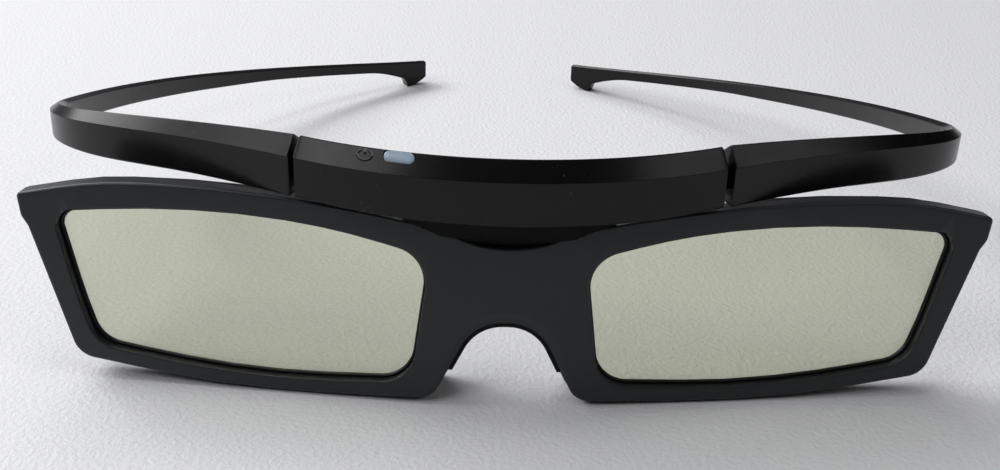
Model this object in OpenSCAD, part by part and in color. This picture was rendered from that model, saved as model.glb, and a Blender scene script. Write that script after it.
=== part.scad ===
// Shutter glasses lying on a table: lens frame, brow bar and plug-in arms.
// Millimetres, +Z up, +Y from the lenses towards the arm tips, +X to the wearer's left.

/* [Lens frame] */
// Width across the outer corners
frame_w = 169.8; // [156:0.2:180]
// Height of the top edge above the rim feet, square to the lenses
frame_h = 36.4; // [34:0.2:39]
// Backward lean of the lenses on the table, in degrees
lean = 10; // [7:0.5:13]
// Wrap of each lens around the face, in degrees
wrap = 6; // [4:0.5:8]
// Width between the lines where the wrap turns
bridge_w = 30; // [29:0.5:33]
// Height of the top edge over the bridge
bridge_h = 27.9; // [27:0.1:29]
// Height of the nose arch
nose_h = 14.2; // [13.4:0.2:15.4]
// Width of the nose arch at its top
nose_top = 10.8; // [10:0.2:12]
// Radius of the nose arch at its upper corners
nose_r = 8; // [4:0.5:8]
// Width of the nose arch between the rim feet
nose_w = 25; // [24:0.2:26.4]
// Depth of the lip in front of each lens
lip_d = 2.2; // [1.6:0.1:2.6]
// Depth of the rear cover
rear_d = 1.7; // [1.4:0.1:2.2]
// Width of the neck that carries the brow bar
neck_w = 36; // [32:0.5:37]

/* [Lenses] */
// Distance between the inner corners of the two windows
lens_gap = 26.6; // [26.2:0.2:30]
// Height of the rim under the window
rim_bottom = 2.4; // [2.2:0.1:3.4]
// Height of the rim over the window
rim_top = 4.3; // [3.6:0.1:5]
// Width of the rim beside the window, at the outer corner
rim_side = 5.7; // [5:0.1:7.5]
// How far the lens reaches behind the lip all round
lens_lap = 1.2; // [0.8:0.1:1.5]
// Thickness of the liquid-crystal cell
cell_t = 1.1; // [0.8:0.1:1.6]
// Thickness of each polarising film
film_t = 0.2; // [0.15:0.05:0.3]
// Thickness of the lens gasket
gasket_t = 0.2; // [0.15:0.05:0.4]

/* [Brow bar] */
// Radius of the outer face in plan
brow_r = 85; // [78:1:95]
// Width between the arm joints
brow_span = 72.8; // [68:0.2:76]
// Depth from the outer to the inner face
brow_d = 4.6; // [4.4:0.1:5.6]
// Height of the outer face up to the crease, in the middle
crease_h = 8.1; // [7.7:0.1:8.8]
// Rise of the sloped top from the crease to the ridge
slope_rise = 3.3; // [2.6:0.1:3.6]
// Run of the sloped top from the crease to the ridge
slope_run = 2.4; // [2:0.1:2.8]
// Wall of the front shell
brow_wall = 1.2; // [1:0.1:1.3]
// Wall of the rear cover
brow_back = 1; // [0.8:0.1:1.2]
// Upward tilt of the bar's underside towards its ends, in degrees
brow_tilt = 6; // [3:0.5:8]
// Clear height between the bridge and the bar
brow_gap = 6.2; // [5.8:0.1:8]
// How far the bar stands in front of the bridge
brow_ahead = 5.2; // [4.4:0.1:6]

/* [Power key] */
// Place of the key from the middle, along the bar
key_x = 18.4; // [14:0.2:22]
// Length of the key
key_l = 5; // [3.4:0.1:5.4]
// Width of the key
key_w = 1.2; // [0.8:0.1:1.2]
// Travel of the key
key_travel = 0.3; // [0.2:0.05:0.4]

/* [Arms] */
// Distance from the middle to the ridge of an arm at its widest
arm_x = 84.8; // [80:0.2:92]
// Depth at which the arm is widest
arm_y = 46; // [40:0.5:54]
// Drop of the ridge from the joint to the widest place
arm_drop = 8.4; // [6:0.1:10]
// Distance from the middle to the ridge at the tip
tip_x = 20.4; // [14:0.2:40]
// Depth of the tip
tip_y = 168.5; // [150:0.5:185]
// Height of the foot at the tip
tip_h = 6.7; // [5:0.1:8]
// Length of the tenon that plugs into the brow bar
tenon_l = 8.5; // [7.6:0.1:9]
// Height of the tenon
tenon_h = 4.2; // [3:0.1:4.4]
// Thickness of the tenon
tenon_t = 1.5; // [1.2:0.1:1.6]
// Gap at the joint of the arm on the -X side
left_gap = 0.9; // [0.3:0.1:2]
// Gap at the joint of the arm on the +X side
right_gap = 1.5; // [0.3:0.1:2]

/* [Nose piece] */
// Thickness of the strip that lines the arch
nose_t = 0.6; // [0.4:0.1:0.9]
// Setback of the strip behind the front face
nose_back = 0.9; // [0.5:0.1:1.4]
// Reach of the nose pads behind the rear cover
pad_d = 4.2; // [3:0.1:6]
// Thickness of the nose pads
pad_t = 2.2; // [1.8:0.1:2.6]

/* [Battery] */
// Diameter of the coin cell
battery_d = 20; // [19.6:0.1:20.2]
// Thickness of the coin cell
battery_h = 2.5; // [1.6:0.1:3.2]
// Wall of the battery cup
cup_wall = 1.5; // [1.4:0.1:1.6]
// Thickness of the battery cover
cover_t = 1.6; // [1.5:0.1:2]
// Width of the coin slot
slot_w = 1.7; // [1.2:0.1:2]

/* [Hidden] */
$fn = 96;

// Fits
fit = 0.1;
slide_fit = 0.12;
seat = 0.02;
slack = 0.05;
far = 60;

// Depth stack of the lens frame
hw = frame_w / 2;
gasket_y = lip_d;
film_y = gasket_y + gasket_t;
cell_y = film_y + film_t;
rear_film_y = cell_y + cell_t;
front_d = rear_film_y + film_t;
frame_d = front_d + rear_d;
bend_r = 90;
bend_x = bridge_w / 2 - bend_r * tan(wrap / 2);
edge_step = 0.25;
neck_back = 2;
window_step = 0.9;
foot_d = 3.2;
gasket_in = 0.2;

// Half outline of the frame from the arch round to the bridge: x, z, corner radius
foot_x = nose_w / 2 + 17.5;
shoulder_z = bridge_h + 3.3;
top_z = frame_h - 2.1;
half_outline = [
    [nose_top / 2, nose_h, nose_r], [nose_w / 2, 0.3, 4], [foot_x, 0, 60], [hw - 34, 0.5, 60],
    [hw - 9.5, 4.4, 2.5], [hw - 1.8, frame_h - 8.8, 1], [hw - 0.6, frame_h - 6.9, 1.5],
    [hw, frame_h - 2.9, 0.6], [hw - 14, frame_h - 0.1, 60], [hw - 34, frame_h, 80],
    [bridge_w / 2 + 15, top_z, 60], [bridge_w / 2 + 4, 0.55 * shoulder_z + 0.45 * top_z, 60],
    [bridge_w / 2 - 3, shoulder_z, 18], [4.5, bridge_h, 19]];
frame_outline = concat(half_outline, [for (i = [len(half_outline) - 1:-1:0])
    [-half_outline[i].x, half_outline[i].y, half_outline[i].z]]);

// Window of one lens: x, z, corner radius
win_x = lens_gap / 2;
win_top = frame_h - rim_top;
window = [
    [win_x + 3, rim_bottom + 0.7, 6.5], [win_x + 26.5, rim_bottom, 80], [hw - 28, rim_bottom + 1.6, 80],
    [hw - 12.6, rim_bottom + 4.3, 3], [hw - 9.9, rim_bottom + 11.9, 40],
    [hw - rim_side, win_top - 1.4, 1.8], [hw - 22, win_top, 80], [hw - 38, win_top, 60],
    [win_x + 16.5, win_top - 1.9, 80], [win_x, win_top - 6.2, 6.5]];

// Opening of the nose arch: x, z, corner radius
arch = [[-nose_w / 2, 0.3, 0.2], [nose_w / 2, 0.3, 0.2],
    [nose_top / 2, nose_h, nose_r], [-nose_top / 2, nose_h, nose_r]];
strip_end = 5.4;
pad_low = 1.6;
pad_high = nose_h - 3;

// Battery cup
contact_t = 0.3;
cup_bore = battery_d / 2 + 0.3;
cup_r = cup_bore + cup_wall;
cup_z = nose_h + 0.4 + cup_r;
cup_base = 0.9;
cup_floor = front_d + cup_base;
battery_y = cup_floor + contact_t + slack;
cover_y = battery_y + battery_h + slack;
cup_end = cover_y + cover_t;
cover_r = cup_bore - fit;
lug_out = 0.6;
lug_t = 0.6;
lug_lift = 0.3;
lug_a = 36;
lug_y = cover_y + lug_lift;
seal_t = 0.4;
seal_y = cup_end - seal_t - 0.2;
seal_in = 0.6;
slot_d = 0.7;

// Screws
screw_r = 0.65;
head_r = 1.2;
head_t = 0.7;
screw_l = 3;
screw_spots = [[nose_w / 2 - 0.6, 9], [bridge_w / 2 - 1.8, bridge_h + 0.5]];

// Brow bar, in the frame that stands on the rim feet
tilt_rise = tan(brow_tilt);
brow_y = bridge_h * sin(lean) - brow_ahead;
brow_z = bridge_h * cos(lean) + brow_gap;
brow_a = asin(brow_span / 2 / brow_r);
ridge_h = crease_h + slope_rise;
ridge_r = brow_r - slope_run;
cavity_top = crease_h - 0.9;
back_fall = 0.8;
plug_a = 6.6;
board_r = brow_r - brow_d + brow_back + slack;
board_t = 0.6;
board_a = brow_a - plug_a - 4;
boss_a = brow_a - plug_a - 1.6;
boss_r = 1.2;
mid_h = (brow_wall + cavity_top) / 2;
end_h = ridge_h - brow_r * (1 - cos(brow_a)) * tilt_rise;

// Flex tails
flex_w = 3;
flex_x = 8;
flex_t = 0.2;
flex_y = cell_y + 0.45;
flex_room = 0.25;
flex_turn = bridge_h - 1.4;

// Power key
key_r = ridge_r + 0.45;
key_a = -asin(key_x / key_r);
key_proud = 0.2;
flange = 0.4;
plunger_r = 0.4;
switch_h = 1.3;
flange_z = cavity_top - 2 * fit - flange;
switch_top = flange_z - key_travel - 0.3;

// Arm: two curves along the ridge, from the joint to the widest place and on to the tip
joint_y = brow_y + brow_r - ridge_r * cos(brow_a);
joint_z = brow_z + ridge_h;
lift = ((foot_x - bridge_w / 2) * tan(wrap) + foot_d) * sin(lean);
tip_a = 42;
wide_slope = -0.26;
joint_slope = -0.06;
tip_slope = -0.1;
// How strongly each curve follows its end directions
joint_pull = 29;
wide_pull = 20;
rear_pull = 92;
tip_pull = 10.5;
joint_pt = [ridge_r * sin(brow_a), joint_y, joint_z];
joint_dir = [cos(brow_a), sin(brow_a), joint_slope];
wide_pt = [arm_x, arm_y, joint_z - arm_drop];
wide_dir = [0, 1, wide_slope];
tip_pt = [tip_x, tip_y, tip_h - lift];
tip_dir = [-cos(tip_a), sin(tip_a), tip_slope];
front_curve = [joint_pt, joint_pt + joint_pull * joint_dir, wide_pt - wide_pull * wide_dir, wide_pt];
rear_curve = [wide_pt, wide_pt + rear_pull * wide_dir, tip_pt - tip_pull * tip_dir, tip_pt];
front_rings = 12;
rear_rings = 26;
arm_ridge = concat([for (i = [0:front_rings]) bezier(front_curve, i / front_rings)],
    [for (i = [1:rear_rings]) bezier(rear_curve, i / rear_rings)]);
arm_run = running(arm_ridge);
arm_len = arm_run[len(arm_run) - 1];
foot_l = 6.2;
heel_l = 7.6;
flare_l = 18.5;
toe_rise = 2;
edge_cut = 0.5;
// Share of the length along the arm, then the size there
arm_height = [[0, end_h], [0.1, 9], [0.18, 8.3], [0.26, 6.7], [0.35, 4.9], [0.55, 4.3],
    [0.67, 3.8], [0.78, 3.1], [1 - flare_l / arm_len, 2.9], [1 - heel_l / arm_len, 4.8],
    [1 - foot_l / arm_len, tip_h - 0.4]];
arm_out = [[0, slope_run], [0.4, 1.5], [1, 2.2]];
arm_in = [[0, brow_d - slope_run], [0.25, 1.3], [1, 0.8]];
arm_crease = [[0, slope_rise], [0.1, 2.3], [0.22, 1.6], [0.32, 0.9], [1, 0.6]];
arm_fall = [[0, back_fall * (brow_d - slope_run)], [0.35, 0.6], [1, 0.3]];
socket_r = brow_r - brow_d / 2 - 0.7;
y_mid = (brow_y + tip_y + arm_out[2][1] * cos(tip_a) + right_gap * sin(brow_a)) / 2;

// Curves and outlines
function bezier(p, t) = pow(1 - t, 3) * p[0] + 3 * pow(1 - t, 2) * t * p[1]
    + 3 * (1 - t) * t * t * p[2] + pow(t, 3) * p[3];
// Length along a row of points, up to each of them
function step_to(p, i) = i < len(p) ? norm(p[i] - p[i - 1]) : 0;
function running(p) = [for (i = 0, s = 0; i < len(p); i = i + 1, s = s + step_to(p, i)) s];
function turned(v, a) = [v.x * cos(a) - v.y * sin(a), v.x * sin(a) + v.y * cos(a)];
function edge(c, i) = let (a = c[i], b = c[(i + 1) % len(c)], d = [b.x - a.x, b.y - a.y]) d / norm(d);
function corner_arc(c, i, grow) =
    let (d0 = edge(c, (i + len(c) - 1) % len(c)), d1 = edge(c, i))
    let (turn = atan2(cross(d0, d1), d0 * d1), s = sign(turn))
    let (n0 = [d0.y, -d0.x], n1 = [d1.y, -d1.x], r = max(c[i].z + s * grow, 0.05))
    let (p = [c[i].x, c[i].y] + grow * (n0 + n1) / (1 + n0 * n1))
    let (o = p - d0 * r * tan(abs(turn) / 2) - s * r * n0, n = ceil(abs(turn) / 8))
    [for (k = [0:n]) o + turned(s * r * n0, turn * k / n)];
// Corner list with its corners rounded, grown outwards by a distance
function outline(c, grow = 0) = [for (i = [0:len(c) - 1]) each corner_arc(c, i, grow)];
// Plan curve of the frame at a depth behind the front face, from the middle outwards
function plan(d) = concat([for (k = [0:4]) let (a = wrap * k / 4)
    [bend_x + (bend_r - d) * sin(a), bend_r - (bend_r - d) * cos(a)]],
    [[bend_x + (bend_r - d) * sin(wrap) + hw * cos(wrap),
        bend_r - (bend_r - d) * cos(wrap) + hw * sin(wrap)]]);
function flipped(p) = [for (i = [len(p) - 1:-1:0]) p[i]];
function other_side(p) = [for (q = p) [-q.x, q.y]];
function leaned(y, z) = [y * cos(lean) + z * sin(lean), z * cos(lean) - y * sin(lean)];

// Frames of reference
module on_table() {
    translate([0, -y_mid, lift])
        children();
}
module lens_plane() {
    on_table()
        rotate([-lean, 0, 0])
            children();
}
module one_lens(side) {
    lens_plane()
        mirror([side < 0 ? 1 : 0, 0, 0])
            translate([bridge_w / 2, 0, 0])
                rotate([0, 0, wrap])
                    translate([-bridge_w / 2, 0, 0])
                        children();
}
module brow_axis() {
    on_table()
        translate([0, brow_y + brow_r, 0])
            children();
}
module brow_tilted() {
    on_table()
        translate([0, brow_y, brow_z])
            rotate([brow_tilt, 0, 0])
                children();
}
// Place on the bar: angle from the middle, radius, height over the bar's underside
module at_brow(a, r, h) {
    y = brow_y + brow_r - r * cos(a);
    brow_axis()
        rotate([0, 0, a])
            translate([0, -r, brow_z + h + (y - brow_y) * tilt_rise])
                children();
}
// End of the bar: +X along the tenon, outwards
module at_joint(side) {
    mirror([side < 0 ? 1 : 0, 0, 0])
        at_brow(brow_a, socket_r, mid_h)
            children();
}

// Shared solids
module prism(y0, y1) {
    translate([0, y1, 0])
        rotate([90, 0, 0])
            linear_extrude(y1 - y0)
                children();
}
module slab(d0, d1) {
    p0 = plan(d0);
    p1 = plan(d1);
    translate([0, 0, -far / 2])
        linear_extrude(2 * far)
            polygon(concat(flipped(other_side(p0)), p0, flipped(p1), other_side(p1)));
}
module below_table() {
    translate([-2 * hw, -hw, -far])
        cube([4 * hw, 4 * hw, far]);
}
module lens_pane(side, y, t, grow) {
    one_lens(side)
        prism(y, y + t)
            polygon(outline(window, grow));
}
module sector(r0, r1, a0, a1) {
    brow_axis()
        rotate([0, 0, a0 - 90])
            rotate_extrude(angle = a1 - a0, $fn = 240)
                translate([r0, brow_z - far / 4])
                    square([r1 - r0, far / 2]);
}
module brow_layer(h0, h1) {
    brow_tilted()
        translate([-far, -far / 2, h0])
            cube([2 * far, far, h1 - h0]);
}
module band(r0, r1, a0, a1, h0, h1) {
    intersection() {
        sector(r0, r1, a0, a1);
        brow_layer(h0, h1);
    }
}
// Body of revolution that cuts the sloped top, raised by a distance
module brow_crown(raise) {
    inner = brow_r - brow_d - 3;
    brow_axis()
        translate([0, 0, brow_z + raise])
            rotate_extrude($fn = 240)
                polygon([[inner, -1], [brow_r + (crease_h + 1) * slope_run / slope_rise, -1],
                    [ridge_r, ridge_h], [inner, ridge_h - back_fall * (ridge_r - inner)]]);
}
module brow_envelope() {
    intersection() {
        sector(brow_r - brow_d, brow_r, -brow_a, brow_a);
        brow_crown(0);
        brow_layer(0, far / 2);
    }
}
module neck() {
    on_table()
        translate([-neck_w / 2, 0, 0])
            rotate([90, 0, 90])
                linear_extrude(neck_w)
                    polygon([leaned(neck_back, bridge_h - 1), leaned(neck_back, bridge_h - 4),
                        leaned(front_d, bridge_h - 4), leaned(front_d, bridge_h - 2.6),
                        [brow_y + brow_d - 0.4, brow_z + 1], [brow_y + 2.4, brow_z + 1]]);
}
// Flex tail of one lens: along the lens plane to the bridge, then up the neck
module flex_path(side, room) {
    one_lens(side)
        prism(flex_y - room, flex_y + flex_t + room)
            polygon([[win_x + 3, 20 - room], [win_x + 3, 23 + room], [flex_x + flex_w + room, 25 + room],
                [flex_x + flex_w + room, flex_turn + 0.6], [flex_x - room, flex_turn + 0.6],
                [flex_x - room, 23 - room]]);
    low = leaned(flex_y + (flex_x - bridge_w / 2) * tan(wrap), flex_turn);
    high = [brow_y + 3.2, brow_z + brow_wall + 0.8];
    thick = [flex_t / 2 + room, 0];
    mirror([side < 0 ? 1 : 0, 0, 0])
        on_table()
            translate([flex_x - room, 0, 0])
                rotate([90, 0, 90])
                    linear_extrude(flex_w + 2 * room)
                        polygon([low - thick, low + thick, high + thick, high - thick]);
}
module screw_bores(r, y0, y1) {
    for (spot = screw_spots, s = [-1, 1])
        lens_plane()
            translate([s * spot.x, y0, spot.y])
                rotate([-90, 0, 0])
                    cylinder(r = r, h = y1 - y0);
}
module brow_bores(r, r0, r1) {
    for (s = [-1, 1])
        at_brow(s * boss_a, r1, mid_h)
            rotate([-90, 0, 0])
                cylinder(r = r, h = r1 - r0);
}
// Cylinder square to the lens plane, on the axis of the battery cup
module cup_disc(r, y0, y1) {
    lens_plane()
        translate([0, y0, cup_z])
            rotate([-90, 0, 0])
                cylinder(r = r, h = y1 - y0);
}
module cup_sector(r0, r1, y0, y1, a0, a1) {
    lens_plane()
        translate([0, y0, cup_z])
            rotate([-90, a0, 0])
                rotate_extrude(angle = a1 - a0)
                    translate([r0, 0])
                        square([r1 - r0, y1 - y0]);
}
module oblong(l, w, h) {
    for (s = [-1, 1])
        translate([s * (l - w) / 2, 0, 0])
            cylinder(d = w, h = h);
    translate([-(l - w) / 2, -w / 2, 0])
        cube([l - w, w, h]);
}
module at_key(h) {
    at_brow(key_a, key_r, h)
        children();
}
// Box that lies on the front of the board
module on_board(a, h, w, tall, deep) {
    at_brow(a, board_r + board_t + seat, h)
        translate([-w / 2, -deep, -tall / 2])
            cube([w, deep, tall]);
}
module arm_shape() {
    n = len(arm_ridge);
    rings = [for (i = [0:n - 1]) arm_ring(i, n)];
    k = len(rings[0]);
    sides = [for (i = [0:n - 2], j = [0:k - 1]) let (a = i * k + j, d = i * k + (j + 1) % k)
        each [[a, d, d + k], [a, d + k, a + k]]];
    polyhedron([for (r = rings) each r], concat(sides,
        [[for (j = [k - 1:-1:0]) j], [for (j = [0:k - 1]) (n - 1) * k + j]]));
}
// One section of the arm: outer face, crease, ridge, inner face
function arm_ring(i, n) =
    let (p = arm_ridge[i], a = arm_ridge[max(i - 1, 0)], b = arm_ridge[min(i + 1, n - 1)])
    let (u = arm_run[i] / arm_len)
    let (t = i == 0 ? [cos(brow_a), sin(brow_a)] : [b.x - a.x, b.y - a.y] / norm([b.x - a.x, b.y - a.y]))
    let (toe = 1 - (arm_len - arm_run[i]) / foot_l)
    let (h = toe > 0 ? p.z + lift - toe_rise * toe * toe : lookup(u, arm_height))
    let (o = lookup(u, arm_out), q = lookup(u, arm_in), c = lookup(u, arm_crease))
    let (f = lookup(u, arm_fall), low = edge_cut)
    [for (s = [[o - low, -h], [o, low - h], [o, -c], [0, 0], [-q, -f], [-q, low - h], [low - q, -h]])
        [p.x + t.y * s.x, p.y - t.x * s.x, p.z + s.y]];
module arm(side, gap) {
    color([0.11, 0.11, 0.12]) {
        mirror([side < 0 ? 1 : 0, 0, 0])
            translate(gap * [cos(brow_a), sin(brow_a), 0])
                on_table()
                    arm_shape();
        at_joint(side)
            translate([gap - tenon_l, -tenon_t / 2, -tenon_h / 2])
                cube([tenon_l + 1, tenon_t, tenon_h]);
    }
}

// Lens frame
module front_frame() {
    color([0.14, 0.14, 0.15])
        difference() {
            union() {
                lens_plane()
                    intersection() {
                        slab(0, front_d);
                        prism(-far, far)
                            polygon(outline(frame_outline));
                    }
                neck();
            }
            for (s = [-1, 1]) {
                lens_pane(s, -far, 2 * far, 0);
                lens_pane(s, lip_d, far, lens_lap + fit);
                flex_path(s, flex_room);
            }
            screw_bores(screw_r + slack, front_d - screw_l + rear_d, front_d + 1);
            brow_envelope();
            below_table();
        }
}
module rear_frame() {
    color([0.12, 0.12, 0.13])
        difference() {
            union() {
                difference() {
                    lens_plane()
                        intersection() {
                            slab(front_d, frame_d);
                            prism(-far, far)
                                polygon(outline(frame_outline, -edge_step));
                        }
                    for (s = [-1, 1])
                        lens_pane(s, -far, 2 * far, window_step);
                }
                cup_disc(cup_r, front_d + seat, cup_end);
            }
            cup_disc(cup_bore, cup_floor, cup_end + 1);
            cup_disc(cup_bore + lug_out + fit, lug_y - fit, lug_y + lug_t + fit);
            for (k = [0, 180])
                cup_sector(1, cup_bore + lug_out + 2 * fit, lug_y, cup_end + 1,
                    k + lug_a + 4, k + 2 * lug_a + 10);
            screw_bores(screw_r + 0.15, front_d - 1, frame_d + 1);
            below_table();
        }
}
module lens_cell(side) {
    color([0.62, 0.64, 0.56])
        lens_pane(side, cell_y, cell_t, lens_lap);
}
module front_polariser(side) {
    color([0.6, 0.62, 0.54])
        lens_pane(side, film_y, film_t, lens_lap);
}
module rear_polariser(side) {
    color([0.58, 0.6, 0.52])
        lens_pane(side, rear_film_y, film_t, lens_lap);
}
module lens_gasket(side) {
    color([0.08, 0.08, 0.08])
        difference() {
            lens_pane(side, gasket_y, gasket_t, lens_lap);
            lens_pane(side, gasket_y - 1, gasket_t + 2, gasket_in);
        }
}
module lens_flex(side) {
    color([0.75, 0.5, 0.2])
        difference() {
            flex_path(side, 0);
            lens_pane(side, cell_y, cell_t, lens_lap);
        }
}
module nose_piece() {
    color([0.07, 0.07, 0.08])
        lens_plane()
            difference() {
                union() {
                    intersection() {
                        prism(nose_back, frame_d + pad_d)
                            polygon(outline(arch, -fit));
                        translate([-far, -far, strip_end])
                            cube(2 * far);
                    }
                    intersection() {
                        prism(frame_d + 2 * fit, frame_d + pad_d)
                            polygon(outline(arch, pad_t - nose_t - fit));
                        translate([-far, -far, pad_low])
                            cube([2 * far, 2 * far, pad_high - pad_low]);
                    }
                }
                prism(-far, far)
                    polygon(outline(arch, -fit - nose_t));
            }
}

// Brow bar
module brow_front() {
    color([0.1, 0.1, 0.11])
        difference() {
            union() {
                difference() {
                    brow_envelope();
                    band(brow_r - brow_d - 1, brow_r - brow_wall, -brow_a - 1, brow_a + 1,
                        brow_wall, cavity_top);
                }
                brow_bores(boss_r, brow_r - brow_d + brow_back + fit, brow_r - brow_wall + 0.3);
            }
            brow_bores(screw_r - 0.1, brow_r - brow_d, brow_r - brow_wall - 0.2);
            at_key(cavity_top - 1)
                oblong(key_l + 2 * fit, key_w + 2 * fit, far / 2);
            for (s = [-1, 1])
                flex_path(s, flex_room);
        }
}
module brow_rear() {
    color([0.1, 0.1, 0.11])
        difference() {
            band(brow_r - brow_d, brow_r - brow_wall - fit, -brow_a, brow_a,
                brow_wall + fit, cavity_top - fit);
            sector(brow_r - brow_d + brow_back, brow_r, plug_a - brow_a, brow_a - plug_a);
            for (s = [-1, 1])
                at_joint(s)
                    translate([-tenon_l - fit, -tenon_t / 2 - slide_fit, -tenon_h / 2 - slide_fit])
                        cube([tenon_l + 3, tenon_t + 2 * slide_fit, tenon_h + 2 * slide_fit]);
            brow_bores(screw_r + slack, brow_r - brow_d - 1, brow_r - brow_wall);
            brow_bores(head_r - 0.1, brow_r - brow_d - 1, brow_r - brow_d + head_t - 0.2);
        }
}
module main_board() {
    color([0.1, 0.3, 0.18])
        band(board_r, board_r + board_t, -board_a, board_a, brow_wall + 0.9, switch_top - 0.2);
}
module radio_chip() {
    color([0.15, 0.15, 0.16])
        on_board(0.2 * board_a, mid_h, 3.6, 3.4, 0.8);
}
module lens_driver_chip() {
    color([0.15, 0.15, 0.16])
        on_board(-0.34 * board_a, mid_h, 4, 3.4, 0.9);
}
module crystal() {
    color("silver")
        on_board(0.43 * board_a, mid_h, 2, 1.6, 0.6);
}
module boost_coil() {
    color([0.3, 0.3, 0.3])
        at_brow(0.65 * board_a, board_r + board_t + seat, mid_h)
            rotate([90, 0, 0])
                cylinder(r = 1.5, h = 1);
}
module board_capacitors() {
    color([0.7, 0.6, 0.45])
        for (k = [-2:1])
            on_board(0.055 * k * board_a, mid_h, 0.6, 1.2, 0.6);
}
module status_led() {
    color([0.9, 0.95, 1])
        on_board(key_a + 2.6, mid_h, 1, 1.6, 0.6);
}
module tact_switch() {
    color("silver")
        difference() {
            on_board(key_a, switch_top - switch_h / 2, 3, switch_h, 1.5);
            at_key(switch_top - switch_h / 2)
                cylinder(r = plunger_r + fit, h = far);
        }
}
module switch_plunger() {
    color([0.2, 0.2, 0.22])
        at_key(switch_top - 0.1)
            cylinder(r = plunger_r, h = flange_z - switch_top + 0.1);
}
module power_key() {
    color([0.66, 0.72, 0.78])
        intersection() {
            union() {
                at_key(flange_z)
                    oblong(key_l + 0.8, key_w, flange);
                at_key(flange_z + flange - fit)
                    oblong(key_l, key_w, far / 4);
            }
            brow_crown(key_proud);
        }
}
module brow_screws() {
    color([0.5, 0.5, 0.52]) {
        brow_bores(screw_r - 0.15, brow_r - brow_d + head_t - 0.3, brow_r - brow_wall - 0.4);
        brow_bores(head_r - 0.2, brow_r - brow_d + slack, brow_r - brow_d + head_t - 0.25);
    }
}

// Battery
module battery() {
    color("silver")
        cup_disc(battery_d / 2, battery_y, battery_y + battery_h);
}
module battery_positive_contact() {
    color([0.8, 0.75, 0.5])
        cup_sector(battery_d / 2 + slack, cup_bore - slack, cup_floor, battery_y + battery_h - 0.5, 70, 110);
}
module battery_negative_contact() {
    color([0.8, 0.75, 0.5])
        cup_disc(6, cup_floor, cup_floor + contact_t);
}
module battery_cover() {
    color([0.12, 0.12, 0.13])
        difference() {
            union() {
                cup_disc(cover_r, cover_y, cup_end);
                for (k = [0, 180])
                    cup_sector(cover_r - 1, cup_bore + lug_out, lug_y, lug_y + lug_t, k, k + lug_a);
            }
            cup_sector(cover_r - seal_in, cup_r, seal_y, seal_y + seal_t, 0, 360);
            lens_plane()
                translate([-battery_d / 2 + 3, cup_end - slot_d, cup_z - slot_w / 2])
                    cube([battery_d - 6, 1 + slot_d, slot_w]);
        }
}
module cover_seal() {
    color([0.05, 0.05, 0.05])
        cup_sector(cover_r - seal_in + seat, cup_bore - seat, seal_y + seat, seal_y + seal_t - seat, 0, 360);
}
module case_screws() {
    color([0.5, 0.5, 0.52]) {
        screw_bores(screw_r, frame_d - screw_l + 0.2, frame_d + 0.3);
        screw_bores(head_r, frame_d + 0.1, frame_d + 0.1 + head_t);
    }
}

front_frame();
rear_frame();
lens_cell(-1);  // left_lens_cell
lens_cell(1);  // right_lens_cell
front_polariser(-1);  // left_front_polariser
front_polariser(1);  // right_front_polariser
rear_polariser(-1);  // left_rear_polariser
rear_polariser(1);  // right_rear_polariser
lens_gasket(-1);  // left_lens_gasket
lens_gasket(1);  // right_lens_gasket
lens_flex(-1);  // left_lens_flex
lens_flex(1);  // right_lens_flex
nose_piece();
brow_front();
brow_rear();
main_board();
radio_chip();
lens_driver_chip();
crystal();
boost_coil();
board_capacitors();
status_led();
tact_switch();
switch_plunger();
power_key();
arm(-1, left_gap);  // left_arm
arm(1, right_gap);  // right_arm
battery();
battery_positive_contact();
battery_negative_contact();
battery_cover();
cover_seal();
case_screws();
brow_screws();
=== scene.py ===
import bmesh
import bpy
from math import asin, atan2, ceil, cos, hypot, pi, radians, sin, sqrt, tan
from mathutils import Matrix, Vector


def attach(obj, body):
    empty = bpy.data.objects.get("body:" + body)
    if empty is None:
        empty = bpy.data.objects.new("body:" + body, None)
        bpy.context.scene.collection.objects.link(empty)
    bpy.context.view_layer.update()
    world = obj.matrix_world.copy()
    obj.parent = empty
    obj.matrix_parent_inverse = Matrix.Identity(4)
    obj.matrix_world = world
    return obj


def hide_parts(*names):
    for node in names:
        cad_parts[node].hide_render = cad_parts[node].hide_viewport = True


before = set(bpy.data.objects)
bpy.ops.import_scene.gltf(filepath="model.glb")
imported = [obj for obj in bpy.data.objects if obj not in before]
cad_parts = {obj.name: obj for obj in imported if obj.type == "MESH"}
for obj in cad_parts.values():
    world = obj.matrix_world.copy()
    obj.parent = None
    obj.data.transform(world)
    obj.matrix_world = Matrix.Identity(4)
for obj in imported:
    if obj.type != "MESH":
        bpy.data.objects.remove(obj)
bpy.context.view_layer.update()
scene = bpy.context.scene
scene.view_settings.view_transform = "Standard"
mm = 0.001
print("frame loaded,", len(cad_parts), "nodes")

# how the glasses stand on the table, in millimetres and radians
stance = {
    "lean": radians(10),
    "wrap": radians(6),
    "bendR": 90.0,
    "bridgeW": 30.0,
    "bridgeH": 27.9,
    "lift": 0.82944,
    "yMid": 85.21103,
    "floor": 0.02,
}


# small tools and their limits
limits = {"step": radians(4), "roomShare": 0.49, "leastTurn": 1e-4, "leastRadius": 0.05, "tiny": 1e-6}


def onTable(x, y, z):
    return Vector((x, y - stance["yMid"], z + stance["lift"])) * mm


def leaned(y, z):
    c = cos(stance["lean"])
    s = sin(stance["lean"])
    return y * c + z * s, z * c - y * s


def inLensPlane(x, y, z):
    return onTable(x, *leaned(y, z))


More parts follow.
